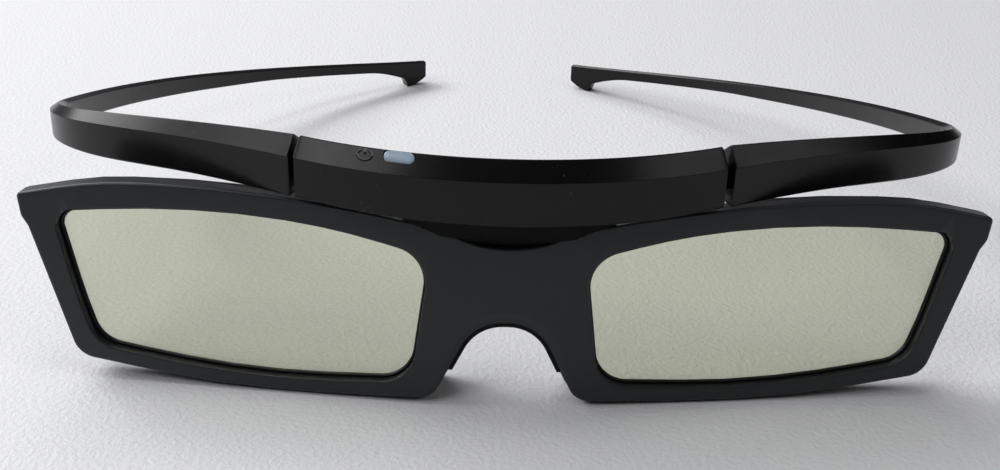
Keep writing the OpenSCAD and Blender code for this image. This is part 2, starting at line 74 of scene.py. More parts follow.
def faceDepth(x, d):
    # depth of the bent frame's skin at x, d millimetres under its front
    r = stance["bendR"]
    w = stance["wrap"]
    out = abs(x) - (stance["bridgeW"] / 2 - r * tan(w / 2))
    if out <= 0:
        return d
    if out < (r - d) * sin(w):
        return r - sqrt((r - d) ** 2 - out ** 2)
    return r - (r - d) * cos(w) + (out - (r - d) * sin(w)) * tan(w)


def roundedLoop(corners, grow=0.0, count=0):
    # corners are (x, z, radius), counterclockwise; a radius of 0 takes the room between its neighbours
    pts = []
    n = len(corners)
    for i, (x, z, radius) in enumerate(corners):
        cur = Vector((x, z))
        before = cur - Vector(corners[i - 1][:2])
        after = Vector(corners[(i + 1) % n][:2]) - cur
        d0 = before.normalized()
        d1 = after.normalized()
        turn = atan2(d0.x * d1.y - d0.y * d1.x, d0.dot(d1))
        side = 1 if turn > 0 else -1
        if radius == 0:
            room = limits["roomShare"] * min(before.length, after.length)
            radius = room / max(tan(abs(turn) / 2), limits["leastTurn"])
        r = max(radius + side * grow, limits["leastRadius"])
        n0 = Vector((d0.y, -d0.x))
        n1 = Vector((d1.y, -d1.x))
        tip = cur + grow * (n0 + n1) / (1 + n0.dot(n1))
        arm = side * r * n0
        centre = tip - d0 * r * tan(abs(turn) / 2) - arm
        parts = count or max(2, ceil(abs(turn) / limits["step"]))
        for k in range(parts + 1):
            a = turn * k / parts
            spoke = (arm.x * cos(a) - arm.y * sin(a), arm.x * sin(a) + arm.y * cos(a))
            pts.append(centre + Vector(spoke))
    return pts


def rolled(radius, sweep=pi / 2, count=5):
    # (grow, depth) pairs round a rolled edge, from the front face towards the side
    turns = [sweep * k / count for k in range(count + 1)]
    return [(radius * (sin(a) - sin(sweep)), radius * (1 - cos(a))) for a in turns]


def bridgeRings(bm, a, b):
    for i in range(len(a)):
        j = (i + 1) % len(a)
        quad = [a[i], a[j], b[j], b[i]]
        if len(set(quad)) == 4:
            bm.faces.new(quad)


def loft(bm, rows):
    # closed skin through a stack of equal rings
    for a, b in zip(rows, rows[1:]):
        bridgeRings(bm, a, b)
    bm.faces.new(rows[0])
    bm.faces.new(rows[-1])


def newObject(name, bm):
    mesh = bpy.data.meshes.new(name)
    bm.to_mesh(mesh)
    bm.free()
    made = bpy.data.objects.new(name, mesh)
    scene.collection.objects.link(made)
    return made


def meshPiece(name, bm, body, angle):
    # edges that turn more than the angle, in degrees, stay sharp
    bmesh.ops.recalc_face_normals(bm, faces=bm.faces[:])
    piece = newObject(name, bm)
    piece.data.shade_smooth()
    piece.data.set_sharp_from_angle(angle=radians(angle))
    piece.modifiers.new("evenNormals", "WEIGHTED_NORMAL").keep_sharp = True
    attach(piece, body)
    return piece


def smoothStep(t):
    t = min(max(t, 0.0), 1.0)
    return t * t * (3 - 2 * t)


def between(run, u):
    # smooth curve through (place, size) pairs without overshoot
    if u <= run[0][0]:
        return run[0][1]
    if u >= run[-1][0]:
        return run[-1][1]
    slopes = [(b[1] - a[1]) / (b[0] - a[0]) for a, b in zip(run, run[1:])]
    inner = [2 * a * b / (a + b) if a * b > 0 else 0.0 for a, b in zip(slopes, slopes[1:])]
    ends = [slopes[0]] + inner + [slopes[-1]]
    k = next(i for i in range(len(slopes)) if u <= run[i + 1][0])
    x0, y0 = run[k]
    x1, y1 = run[k + 1]
    h = x1 - x0
    t = (u - x0) / h
    start = (1 + 2 * t) * (1 - t) ** 2 * y0 + t * (1 - t) ** 2 * h * ends[k]
    return start + t * t * (3 - 2 * t) * y1 + t * t * (t - 1) * h * ends[k + 1]


# shader groups that several materials share
def newGroup(name, inputs, outputs):
    tree = bpy.data.node_groups.new(name, "ShaderNodeTree")
    for label, value in inputs:
        socket = tree.interface.new_socket(name=label, in_out="INPUT", socket_type="NodeSocketFloat")
        socket.default_value = value
    for label in outputs:
        tree.interface.new_socket(name=label, in_out="OUTPUT", socket_type="NodeSocketFloat")
    return tree, tree.nodes.new("NodeGroupInput"), tree.nodes.new("NodeGroupOutput")


def addNode(tree, kind, **values):
    # in_ keywords set the sockets, the others the node's own settings
    node = tree.nodes.new(kind)
    for key, value in values.items():
        if key.startswith("in_"):
            node.inputs[key[3:].replace("_", " ")].default_value = value
        else:
            setattr(node, key, value)
    return node


mouldSkin = {
    "grainScale": 2500.0,
    "grainDetail": 3.0,
    "grainRoughness": 0.6,
    "smudgeScale": 60.0,
    "smudgeDetail": 4.0,
    "smudgeRoughness": 0.55,
    "smudgeDistortion": 0.6,
    "smudgeFrom": 0.35,
    "smudgeTo": 0.7,
}


def mouldSkinGroup(look):
    # spark-eroded grain of a moulded plastic, plus the smudges that handling leaves
    sockets = [("Grain Scale", look["grainScale"]), ("Smudge Scale", look["smudgeScale"])]
    tree, given, out = newGroup("mouldSkin", sockets, ["Grain", "Smudge"])
    coord = addNode(tree, "ShaderNodeTexCoord")
    grain = addNode(tree, "ShaderNodeTexNoise", in_Detail=look["grainDetail"],
                    in_Roughness=look["grainRoughness"])
    smudge = addNode(tree, "ShaderNodeTexNoise", in_Detail=look["smudgeDetail"],
                     in_Roughness=look["smudgeRoughness"], in_Distortion=look["smudgeDistortion"])
    spread = addNode(tree, "ShaderNodeMapRange", in_From_Min=look["smudgeFrom"],
                     in_From_Max=look["smudgeTo"])
    link = tree.links.new
    link(coord.outputs["Object"], grain.inputs["Vector"])
    link(coord.outputs["Object"], smudge.inputs["Vector"])
    link(given.outputs["Grain Scale"], grain.inputs["Scale"])
    link(given.outputs["Smudge Scale"], smudge.inputs["Scale"])
    link(smudge.outputs["Fac"], spread.inputs["Value"])
    link(grain.outputs["Fac"], out.inputs["Grain"])
    link(spread.outputs["Result"], out.inputs["Smudge"])
    return tree


tableDust = {
    "speckScale": 700.0,
    "amount": 0.1,
    "speckFrom": 0.16,
    "speckTo": 0.05,
    "patchScale": 90.0,
    "patchDetail": 2.0,
    "patchFrom": 0.52,
    "patchTo": 0.75,
}


def dustGroup(look):
    # sparse specks of dust that lie in patches
    sockets = [("Speck Scale", look["speckScale"]), ("Amount", look["amount"])]
    tree, given, out = newGroup("tableDust", sockets, ["Dust"])
    coord = addNode(tree, "ShaderNodeTexCoord")
    cells = addNode(tree, "ShaderNodeTexVoronoi", feature="F1")
    spot = addNode(tree, "ShaderNodeMapRange", in_From_Min=look["speckFrom"], in_From_Max=look["speckTo"])
    patch = addNode(tree, "ShaderNodeTexNoise", in_Scale=look["patchScale"], in_Detail=look["patchDetail"])
    some = addNode(tree, "ShaderNodeMapRange", in_From_Min=look["patchFrom"], in_From_Max=look["patchTo"])
    both = addNode(tree, "ShaderNodeMath", operation="MULTIPLY")
    share = addNode(tree, "ShaderNodeMath", operation="MULTIPLY")
    link = tree.links.new
    link(coord.outputs["Object"], cells.inputs["Vector"])
    link(coord.outputs["Object"], patch.inputs["Vector"])
    link(given.outputs["Speck Scale"], cells.inputs["Scale"])
    link(cells.outputs["Distance"], spot.inputs["Value"])
    link(patch.outputs["Fac"], some.inputs["Value"])
    link(spot.outputs["Result"], both.inputs[0])
    link(some.outputs["Result"], both.inputs[1])
    link(both.outputs["Value"], share.inputs[0])
    link(given.outputs["Amount"], share.inputs[1])
    link(share.outputs["Value"], out.inputs["Dust"])
    return tree


groups = {"skin": mouldSkinGroup(mouldSkin), "dust": dustGroup(tableDust)}


def newMaterial(name):
    mat = bpy.data.materials.new(name)
    mat.use_nodes = True
    tree = mat.node_tree
    tree.nodes.clear()
    shader = tree.nodes.new("ShaderNodeBsdfPrincipled")
    out = tree.nodes.new("ShaderNodeOutputMaterial")
    tree.links.new(shader.outputs["BSDF"], out.inputs["Surface"])
    return mat, tree, shader


def groupNode(tree, key, **values):
    node = addNode(tree, "ShaderNodeGroup", node_tree=groups[key])
    for label, value in values.items():
        node.inputs[label.replace("_", " ")].default_value = value
    return node


def mixColour(tree, mask, low, high):
    mix = addNode(tree, "ShaderNodeMix", data_type="RGBA")
    mix.inputs["A"].default_value = (*low, 1)
    mix.inputs["B"].default_value = (*high, 1)
    tree.links.new(mask, mix.inputs["Factor"])
    return mix.outputs["Result"]


# what the moulded finishes share, where a finish doesn't say otherwise
moulded = {
    "dustColour": (0.42, 0.42, 0.43, 1),
    "smudge": mouldSkin["smudgeScale"],
    "grainDistance": 0.00005,
    "shine": 0.5,
    "sheenRoughness": 0.3,
}


def mouldedFinish(name, look):
    # grained plastic, rubber or metal: two shades, a gloss range, grain depth and dust
    mat, tree, shader = newMaterial(name)
    smudge = look.get("smudge", moulded["smudge"])
    skin = groupNode(tree, "skin", Grain_Scale=look["grain"], Smudge_Scale=smudge)
    link = tree.links.new
    colour = mixColour(tree, skin.outputs["Smudge"], look["dark"], look["light"])
    if look.get("dust"):
        dust = groupNode(tree, "dust", Amount=look["dust"])
        top = addNode(tree, "ShaderNodeMix", data_type="RGBA")
        top.inputs["B"].default_value = moulded["dustColour"]
        link(dust.outputs["Dust"], top.inputs["Factor"])
        link(colour, top.inputs["A"])
        colour = top.outputs["Result"]
    low, high = look["gloss"]
    gloss = addNode(tree, "ShaderNodeMapRange", in_To_Min=low, in_To_Max=high)
    bump = addNode(tree, "ShaderNodeBump", in_Strength=look["depth"], in_Distance=moulded["grainDistance"])
    link(skin.outputs["Smudge"], gloss.inputs["Value"])
    link(skin.outputs["Grain"], bump.inputs["Height"])
    link(colour, shader.inputs["Base Color"])
    link(gloss.outputs["Result"], shader.inputs["Roughness"])
    link(bump.outputs["Normal"], shader.inputs["Normal"])
    shader.inputs["Specular IOR Level"].default_value = look.get("shine", moulded["shine"])
    shader.inputs["Metallic"].default_value = look.get("metal", 0.0)
    shader.inputs["Sheen Weight"].default_value = look.get("sheen", 0.0)
    shader.inputs["Sheen Roughness"].default_value = moulded["sheenRoughness"]
    return mat


finishes = {
    "frame": {"dark": (0.0082, 0.0098, 0.0112), "light": (0.0106, 0.0126, 0.0142), "gloss": (0.34, 0.44),
              "grain": 5200.0, "depth": 0.12, "dust": 0.10, "sheen": 0.08},
    "brow": {"dark": (0.0026, 0.0022, 0.0024), "light": (0.0036, 0.0031, 0.0033), "gloss": (0.22, 0.30),
             "grain": 5200.0, "depth": 0.10, "dust": 0.14, "shine": 0.24},
    "arm": {"dark": (0.0024, 0.0022, 0.0026), "light": (0.0034, 0.0031, 0.0036), "gloss": (0.22, 0.30),
            "grain": 5200.0, "depth": 0.10, "dust": 0.08, "shine": 0.27},
    # the neck is frame plastic; its darker, duller finish is painted shade for its recess under the bar
    "neckPaintedShade": {"dark": (0.0016, 0.0016, 0.0018), "light": (0.0022, 0.0022, 0.0024),
                  "gloss": (0.45, 0.55), "grain": 5200.0, "depth": 0.10, "shine": 0.12},
    "cover": {"dark": (0.0085, 0.0085, 0.0095), "light": (0.0115, 0.0115, 0.0125), "gloss": (0.44, 0.54),
              "grain": 2600.0, "depth": 0.35},
    "noseRubber": {"dark": (0.0016, 0.0016, 0.0018), "light": (0.0026, 0.0026, 0.0028),
                   "gloss": (0.5, 0.62), "grain": 3000.0, "depth": 0.25, "shine": 0.2},
    "sealRubber": {"dark": (0.003, 0.003, 0.0032), "light": (0.0045, 0.0045, 0.0048), "gloss": (0.38, 0.48),
                   "grain": 3000.0, "depth": 0.1, "shine": 0.4},
    "keyPlastic": {"dark": (0.325, 0.415, 0.515), "light": (0.39, 0.49, 0.60), "gloss": (0.18, 0.28),
                   "grain": 1800.0, "smudge": 420.0, "depth": 0.05},
    "boardMask": {"dark": (0.012, 0.075, 0.035), "light": (0.02, 0.11, 0.05), "gloss": (0.3, 0.4),
                  "grain": 1500.0, "smudge": 300.0, "depth": 0.1},
    "chipPackage": {"dark": (0.014, 0.014, 0.015), "light": (0.02, 0.02, 0.021), "gloss": (0.5, 0.6),
                    "grain": 4000.0, "depth": 0.3},
    "platedMetal": {"dark": (0.55, 0.55, 0.54), "light": (0.66, 0.65, 0.63), "gloss": (0.22, 0.32),
                    "grain": 3000.0, "smudge": 200.0, "depth": 0.05, "metal": 1.0},
    "ferrite": {"dark": (0.05, 0.05, 0.052), "light": (0.07, 0.07, 0.072), "gloss": (0.55, 0.7),
                "grain": 3000.0, "depth": 0.4},
    "ceramic": {"dark": (0.34, 0.24, 0.14), "light": (0.42, 0.31, 0.19), "gloss": (0.35, 0.45),
                "grain": 2500.0, "smudge": 400.0, "depth": 0.1},
    "ledLens": {"dark": (0.78, 0.82, 0.88), "light": (0.85, 0.88, 0.92), "gloss": (0.12, 0.2),
                "grain": 2000.0, "depth": 0.02},
    "springBrass": {"dark": (0.55, 0.40, 0.14), "light": (0.64, 0.49, 0.2), "gloss": (0.25, 0.36),
                    "grain": 3000.0, "smudge": 200.0, "depth": 0.05, "metal": 1.0},
    "screwSteel": {"dark": (0.10, 0.10, 0.105), "light": (0.16, 0.16, 0.165), "gloss": (0.28, 0.4),
                   "grain": 2500.0, "smudge": 400.0, "depth": 0.1, "metal": 1.0},
    "flexAmber": {"dark": (0.42, 0.17, 0.03), "light": (0.5, 0.22, 0.05), "gloss": (0.3, 0.4),
                  "grain": 2500.0, "depth": 0.05},
    # sign: the bar's plastic, glossier, and painted lighter as a painted highlight on its raised edges
    "signPaintedHighlight": {"dark": (0.006, 0.006, 0.0065), "light": (0.009, 0.009, 0.0095), "gloss": (0.2, 0.28),
                "grain": 4000.0, "depth": 0.05},
}
paint = {key: mouldedFinish(key, look) for key, look in finishes.items()}

lensGlass = {"tint": (0.60, 0.615, 0.495), "ior": 1.48, "haze": (0.0, 0.03), "smudgeScale": 45.0}


def lensFinish(look):
    # grey-green shutter glass: plain transmission, with a trace of smudges in its gloss
    mat, tree, shader = newMaterial("shutterGlass")
    skin = groupNode(tree, "skin", Smudge_Scale=look["smudgeScale"])
    low, high = look["haze"]
    haze = addNode(tree, "ShaderNodeMapRange", in_To_Min=low, in_To_Max=high)
    tree.links.new(skin.outputs["Smudge"], haze.inputs["Value"])
    tree.links.new(haze.outputs["Result"], shader.inputs["Roughness"])
    shader.inputs["Base Color"].default_value = (*look["tint"], 1)
    shader.inputs["Transmission Weight"].default_value = 1.0
    shader.inputs["IOR"].default_value = look["ior"]
    return mat


paint["lens"] = lensFinish(lensGlass)
print("finishes made,", len(paint))


def dress(piece, finish, slot=None, *nodes):
    piece.data.materials.clear()
    piece.data.materials.append(paint[finish])
    if nodes:
        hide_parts(*nodes)
    return piece


# lens frame: one moulding with both rims and the bridge
rims = {
    "depth": 3.9,
    "edge": 0.5,
    "archR": 3.0,
    "archSweep": radians(44),
    "archHalf": 11.0,
    "archTop": 20.0,
    "archFrom": 2.0,
    "archRun": 10.0,
    "windowEdge": 0.3,
    "lip": 2.2,
    "pocket": 1.3,
    "rearChamfer": 0.12,
    "bendSteps": 9,
    "cuts": (0.0, 5.0, 40.0, 60.0),
    "weld": 1e-4,
    "sharp": 40,
    # corners as (x, z, radius): half the outline from the nose arch round to the bridge, and one window
    "half": [
        (5.4, 14.2, 8), (12.5, 0.3, 4), (30, 0, 0), (50.9, 0.5, 0), (75.4, 4.4, 4.5), (83.1, 27.6, 2.5),
        (84.3, 29.5, 2.5), (84.9, 33.5, 0.9), (70.9, 36.3, 0), (50.9, 36.4, 0), (30, 34.3, 0),
        (19, 32.6, 0), (12, 31.2, 18), (4.5, 27.9, 19)],
    "window": [
        (16.3, 3.1, 6.5), (39.8, 2.4, 0), (56.9, 4.0, 0), (72.3, 6.7, 6.2), (75.0, 14.3, 0),
        (79.2, 30.7, 3.0), (62.9, 32.1, 0), (46.9, 32.1, 0), (29.8, 30.2, 0), (13.3, 25.9, 6.5)],
}
rims["outline"] = rims["half"] + [(-x, z, r) for x, z, r in reversed(rims["half"])]


def windowPoint(side, p, d):
    # the window's corners are flat in the lens; this gives the place in the frame's own plan
    w = stance["wrap"]
    half = stance["bridgeW"] / 2
    x = half + (p.x - half) * cos(w) - d * sin(w)
    return side * x, (p.x - half) * sin(w) + d * cos(w), p.y


def cutsAt(loop, places):
    # where a loop crosses the given x places: {segment: [shares]}
    cuts = {}
    for i, a in enumerate(loop):
        b = loop[(i + 1) % len(loop)]
        low = min(a[0], b[0]) + limits["tiny"]
        high = max(a[0], b[0]) - limits["tiny"]
        shares = sorted((x - a[0]) / (b[0] - a[0]) for x in places if low < x < high)
        if shares:
            cuts[i] = shares
    return cuts


def withCuts(loop, cuts):
    out = []
    for i, a in enumerate(loop):
        b = loop[(i + 1) % len(loop)]
        out.append(Vector(a))
        out += [Vector(a).lerp(Vector(b), s) for s in cuts.get(i, [])]
    return out


def fillLoops(bm, loops):
    edges = []
    for loop in loops:
        edges += [bm.edges.new((a, loop[(i + 1) % len(loop)])) for i, a in enumerate(loop)]
    bmesh.ops.triangle_fill(bm, use_beauty=True, edges=edges)


def archShare(p):
    # the edge is rolled broadly over the nose arch, and less and less down its legs
    if abs(p.x) > rims["archHalf"] or p.y > rims["archTop"]:
        return 0.0
    return smoothStep((p.y - rims["archFrom"]) / rims["archRun"])


def outerRings():
    # outline of the frame at each step round its front fillet, down its side and round the rear chamfer
    edge = rims["edge"]
    base = roundedLoop(rims["outline"])
    inner = roundedLoop(rims["outline"], -edge)
    rings = []
    for (grow, d), (archGrow, archD) in zip(rolled(edge), rolled(rims["archR"], rims["archSweep"])):
        ring = []
        for p, q in zip(base, inner):
            share = archShare(p)
            place = p + (q - p) * -(grow + (archGrow - grow) * share) / edge
            ring.append((place.x, d + (archD - d) * share, place.y))
        rings.append(ring)
    chamfer = rims["rearChamfer"]
    for grow, d in ((0.0, rims["depth"] - chamfer), (-chamfer, rims["depth"])):
        rings.append([(p.x, d, p.y) for p in roundedLoop(rims["outline"], grow)])
    return rings


def windowRings(side):
    # outline of one window: rolled front edge, lip, and the pocket that takes the lens
    steps = [(-grow, d) for grow, d in rolled(rims["windowEdge"], count=3)]
    steps += [(0, rims["lip"]), (rims["pocket"], rims["lip"]), (rims["pocket"], rims["depth"])]
    rings = []
    for grow, d in steps:
        pts = [windowPoint(side, p, d) for p in roundedLoop(rims["window"], grow)]
        rings.append([(x, d, z) for x, y, z in pts])
    return rings


def bendPlaces():
    half = stance["bridgeW"] / 2
    start = half - stance["bendR"] * tan(stance["wrap"] / 2)
    reach = stance["bendR"] * sin(stance["wrap"])
    count = rims["bendSteps"]
    places = [start + reach * k / count for k in range(count + 1)] + list(rims["cuts"])
    return sorted(set(places + [-x for x in places]))


def bentPlate(stacks, places):
    # the plate is made flat, cut where it bends, then bent; each stack runs from the front to the rear face
    bm = bmesh.new()
    cutStacks = []
    for stack in stacks:
        cuts = cutsAt(stack[0], places)
        cutStacks.append([withCuts(ring, cuts) for ring in stack])
    made = [[[bm.verts.new(p) for p in stack[end]] for end in (0, -1)] for stack in cutStacks]
    for end in (0, 1):
        fillLoops(bm, [ends[end] for ends in made])
    for x in places:
        geom = bm.verts[:] + bm.edges[:] + bm.faces[:]
        bmesh.ops.bisect_plane(bm, geom=geom, dist=rims["weld"], plane_co=(x, 0, 0), plane_no=(1, 0, 0))
    for v in bm.verts:
        x, d, z = v.co
        v.co = inLensPlane(x, faceDepth(x, d), z)
    for stack, (first, last) in zip(cutStacks, made):
        rows = [first]
        for ring in stack[1:-1]:
            rows.append([bm.verts.new(inLensPlane(x, faceDepth(x, d), z)) for x, d, z in ring])
        rows.append(last)
        for a, b in zip(rows, rows[1:]):
            bridgeRings(bm, a, b)
    for v in bm.verts:
        v.co.z = max(v.co.z, stance["floor"] * mm)  # the feet stand flat
    return bm


def buildFrame():
    bm = bentPlate([outerRings(), windowRings(-1), windowRings(1)], bendPlaces())
    piece = meshPiece("frameMoulding", bm, "front", rims["sharp"])
    return dress(piece, "frame", "frame_black", "front_frame")


# brow bar: a curved hollow shell with a sloped top
bar = {
    "r": 85.0,
    "span": 72.8,
    "depth": 4.6,
    "crease": 8.1,
    "rise": 3.3,
    "run": 2.4,
    "backFall": 0.8,
    "tilt": radians(6),
    "gap": 6.2,
    "ahead": 5.2,
    "wall": 1.2,
    "roof": 0.9,
    "bottomEdge": 0.6,
    "creaseEdge": 0.14,
    "ridgeEdge": 0.25,
    "backEdge": 0.3,
    "mouthEdge": 0.05,
    "hollowEdge": 0.1,
    "endChamfer": 0.26,
    "creaseInset": 0.6,
    "steps": 90,
    "edgeSteps": 5,
    "sharp": 30,
}
bar["y"] = stance["bridgeH"] * sin(stance["lean"]) - bar["ahead"]
bar["z"] = stance["bridgeH"] * cos(stance["lean"]) + bar["gap"]
bar["a"] = asin(bar["span"] / 2 / bar["r"])
bar["ridgeH"] = bar["crease"] + bar["rise"]
bar["ridgeR"] = bar["r"] - bar["run"]
bar["cavityTop"] = bar["crease"] - bar["roof"]


def crownHeight(r):
    # height of the sloped top over the bar's lowest line, by the distance from its axis
    front = bar["crease"] + (bar["r"] - r) * bar["rise"] / bar["run"]
    back = bar["ridgeH"] - bar["backFall"] * (bar["ridgeR"] - r)
    return min(front, back)


def barPlan(a, r):
    return r * sin(a), bar["y"] + bar["r"] - r * cos(a)


def layerHeight(a, r, h):
    # the underside and the hollow rise towards the ends
    y = barPlan(a, r)[1]
    return bar["z"] + h / cos(bar["tilt"]) + (y - bar["y"]) * tan(bar["tilt"])


def barSection(a, inset):
    # corners of the hollow section at one angle: (radius, height, fillet)
    front = bar["r"] - inset
    back = bar["r"] - bar["depth"] + inset
    wall = bar["r"] - bar["wall"]
    ridge = bar["ridgeR"]
    top = [(front, bar["z"] + crownHeight(front) - inset * bar["creaseInset"], bar["creaseEdge"]),
           (ridge, bar["z"] + bar["ridgeH"] - inset, bar["ridgeEdge"]),
           (back, bar["z"] + crownHeight(back) - inset, bar["backEdge"])]
    outside = [(back, layerHeight(a, back, 0) + inset, bar["backEdge"]),
               (front, layerHeight(a, front, 0) + inset, bar["bottomEdge"])]
    inside = [(back, layerHeight(a, back, bar["cavityTop"]), bar["mouthEdge"]),
              (wall, layerHeight(a, wall, bar["cavityTop"]), bar["hollowEdge"]),
              (wall, layerHeight(a, wall, bar["wall"]), bar["hollowEdge"]),
              (back, layerHeight(a, back, bar["wall"]), bar["mouthEdge"])]
    return outside + top + inside


def buildBar():
    chamfer = bar["endChamfer"] / bar["r"]
    reach = bar["a"] - chamfer
    stops = [(-bar["a"], bar["endChamfer"])]
    stops += [(-reach + 2 * reach * k / bar["steps"], 0.0) for k in range(bar["steps"] + 1)]
    stops += [(bar["a"], bar["endChamfer"])]
    bm = bmesh.new()
    rows = []
    for a, inset in stops:
        loop = roundedLoop(barSection(a, inset), count=bar["edgeSteps"])
        rows.append([bm.verts.new(onTable(*barPlan(a, p.x), p.y)) for p in loop])
    loft(bm, rows)
    piece = meshPiece("browShell", bm, "front", bar["sharp"])
    cutKeyhole(piece)
    return dress(piece, "brow", "brow_black", "brow_front")


# neck: the wide recessed web between the bridge and the brow bar, finished darker than the frame as painted
# shade
neck = {
    "width": 36.0,
    "back": 3.0,
    "root": 25.2,
    "rootRise": 0.68,
    "flatHalf": 11.0,
    "front": 2.4,
    "rear": 4.2,
    "into": 0.8,
    "corner": 0.1,
    "endChamfer": 0.4,
    "steps": 28,
    "edgeSteps": 3,
    "sharp": 35,
}


def buildNeck():
    # swept along x: its root stays inside the rims, clear of the lens pockets
    half = neck["width"] / 2
    cut = neck["endChamfer"]
    reach = half - cut
    stops = [(-half, cut)]
    stops += [(-reach + 2 * reach * k / neck["steps"], 0.0) for k in range(neck["steps"] + 1)]
    stops += [(half, cut)]
    top = bar["z"] + neck["into"]
    bm = bmesh.new()
    rows = []
    for x, inset in stops:
        root = neck["root"] + neck["rootRise"] * max(abs(x) - neck["flatHalf"], 0.0)
        curve = bar["y"] + bar["r"] - sqrt(bar["r"] ** 2 - x ** 2)
        section = [leaned(neck["back"] + inset / 2, root), leaned(rims["depth"] - inset / 2, root),
                   (curve + neck["rear"] - inset, top), (curve + neck["front"] + inset, top)]
        loop = roundedLoop([(y, z, neck["corner"]) for y, z in section], count=neck["edgeSteps"])
        rows.append([bm.verts.new(onTable(x, p.x, p.y)) for p in loop])
    loft(bm, rows)
    # dressed darker than the frame it is moulded with: painted shade under the bar
    return dress(meshPiece("bridgeNeck", bm, "front", neck["sharp"]), "neckPaintedShade", "frame_black")


# power key: a milky oval button that follows the slope
key = {
    "x": 18.4,
    "length": 5.2,
    "width": 1.06,
    "cap": 1.0,
    "proud": 0.1,
    "clear": 0.15,
    "inset": 0.52,
    "roll": ((0.49, 0.0), (0.4, 0.0), (0.3, 0.01), (0.2, 0.03), (0.12, 0.07), (0.05, 0.13), (0.0, 0.24)),
    "below": (0.7, 1.3),
    "foot": 0.1,
    "holeBelow": 0.6,
    "holeAbove": 2.0,
    "steps": 20,
    "sharp": 50,
}
key["r"] = bar["ridgeR"] + key["inset"]
key["a"] = -asin(key["x"] / key["r"])


def onSlope(a, u, v):
    # place along and across a spot on the bar: x, y on the table and the distance from the bar's axis
    back = v - key["r"]
    x = u * cos(a) - back * sin(a)
    y = u * sin(a) + back * cos(a)
    return x, bar["y"] + bar["r"] + y, hypot(x, y)


def oblong(grow, count):
    # plan of the key, grown by a distance: straight sides and drawn-out round ends
    cap = key["cap"] + grow
    half = key["width"] / 2 + grow
    straight = key["length"] / 2 - key["cap"]
    out = []
    for k in range(count):
        a = -pi / 2 + pi * k / (count - 1)
        out.append((straight + cap * cos(a), half * sin(a)))
    return out + [(-x, -y) for x, y in out]


def cutKeyhole(piece):
    # a straight hole through the bar's top, a little wider than the key
    bm = bmesh.new()
    places = [onSlope(key["a"], u, v) for u, v in oblong(key["clear"], key["steps"])]
    rows = []
    for h in (bar["cavityTop"] - key["holeBelow"], bar["ridgeH"] + key["holeAbove"]):
        rows.append([bm.verts.new(onTable(x, y, bar["z"] + h)) for x, y, r in places])
    loft(bm, rows)
    bmesh.ops.recalc_face_normals(bm, faces=bm.faces[:])
    cutter = newObject("keyholeCutter", bm)
    even = piece.modifiers["evenNormals"]
    even.show_viewport = False
    cut = piece.modifiers.new("keyhole", "BOOLEAN")
    cut.operation = "DIFFERENCE"
    cut.solver = "EXACT"
    cut.object = cutter
    graph = bpy.context.evaluated_depsgraph_get()
    piece.data = bpy.data.meshes.new_from_object(piece.evaluated_get(graph))
    piece.data.name = piece.name
    piece.modifiers.remove(cut)
    even.show_viewport = True
    bpy.data.objects.remove(cutter)


def buildKey():
    bm = bmesh.new()
    rows = []
    steps = [(key["width"] * inset, drop) for inset, drop in key["roll"]]
    steps += [(0.0, drop) for drop in key["below"]]
    for inset, drop in steps:
        ring = []
        for u, v in oblong(-inset, key["steps"]):
            x, y, r = onSlope(key["a"], u, v)
            h = max(crownHeight(r) + key["proud"] - drop, bar["cavityTop"] - key["foot"])
            ring.append(bm.verts.new(onTable(x, y, bar["z"] + h)))
        rows.append(ring)
    loft(bm, rows)
    piece = meshPiece("powerButton", bm, "power_key", key["sharp"])
    return dress(piece, "keyPlastic", "key_pale", "power_key")


# on/off sign beside the key: an open ring and a bar, slightly raised, in the bar's plastic painted lighter
# as a painted highlight on its edges
symbol = {
    "x": 24.0,
    "radius": 1.0,
    "wide": 1.25,
    "tall": 0.9,
    "line": 0.4,
    "stem": (1.15, 0.7, 0.1),
    "crest": 0.7,
    "lift": 0.12,
    "sunk": 0.05,
    "below": 1.45,
    "gap": radians(32),
    "steps": 28,
    "sharp": 50,
}
symbol["a"] = -asin(symbol["x"] / key["r"])


def buildSymbol():
    # "below" is the distance from the ridge down the slope to the middle of the sign
    slope = bar["run"] / hypot(bar["run"], bar["rise"])

    def place(u, v, up):
        down = symbol["below"] - v * symbol["tall"]
        x, y, r = onSlope(symbol["a"], u * symbol["wide"], key["inset"] - down * slope)
        return onTable(x, y, bar["z"] + crownHeight(r) + up)

    half = symbol["line"] / 2
    radius = symbol["radius"]
    sweep = 2 * pi - 2 * symbol["gap"]
    turns = [symbol["gap"] + sweep * k / symbol["steps"] for k in range(symbol["steps"] + 1)]
    ring = [(radius * sin(t), radius * cos(t)) for t in turns]
    stem = [(0, radius * share) for share in symbol["stem"]]
    crest = symbol["crest"]
    lift = symbol["lift"]
    profile = [(-1.0, -symbol["sunk"]), (-crest, lift), (crest, lift), (1.0, -symbol["sunk"])]
    bm = bmesh.new()
    for path in (ring, stem):
        rows = []
        for i, (u, v) in enumerate(path):
            u0, v0 = path[max(i - 1, 0)]
            u1, v1 = path[min(i + 1, len(path) - 1)]
            length = hypot(u1 - u0, v1 - v0)
            nu = (v0 - v1) / length * half
            nv = (u1 - u0) / length * half
            rows.append([bm.verts.new(place(u + nu * s, v + nv * s, up)) for s, up in profile])
        loft(bm, rows)
    # the sign's lighter finish is a painted highlight on its raised edges
    return dress(meshPiece("powerSign", bm, "front", symbol["sharp"]), "signPaintedHighlight", "brow_black")


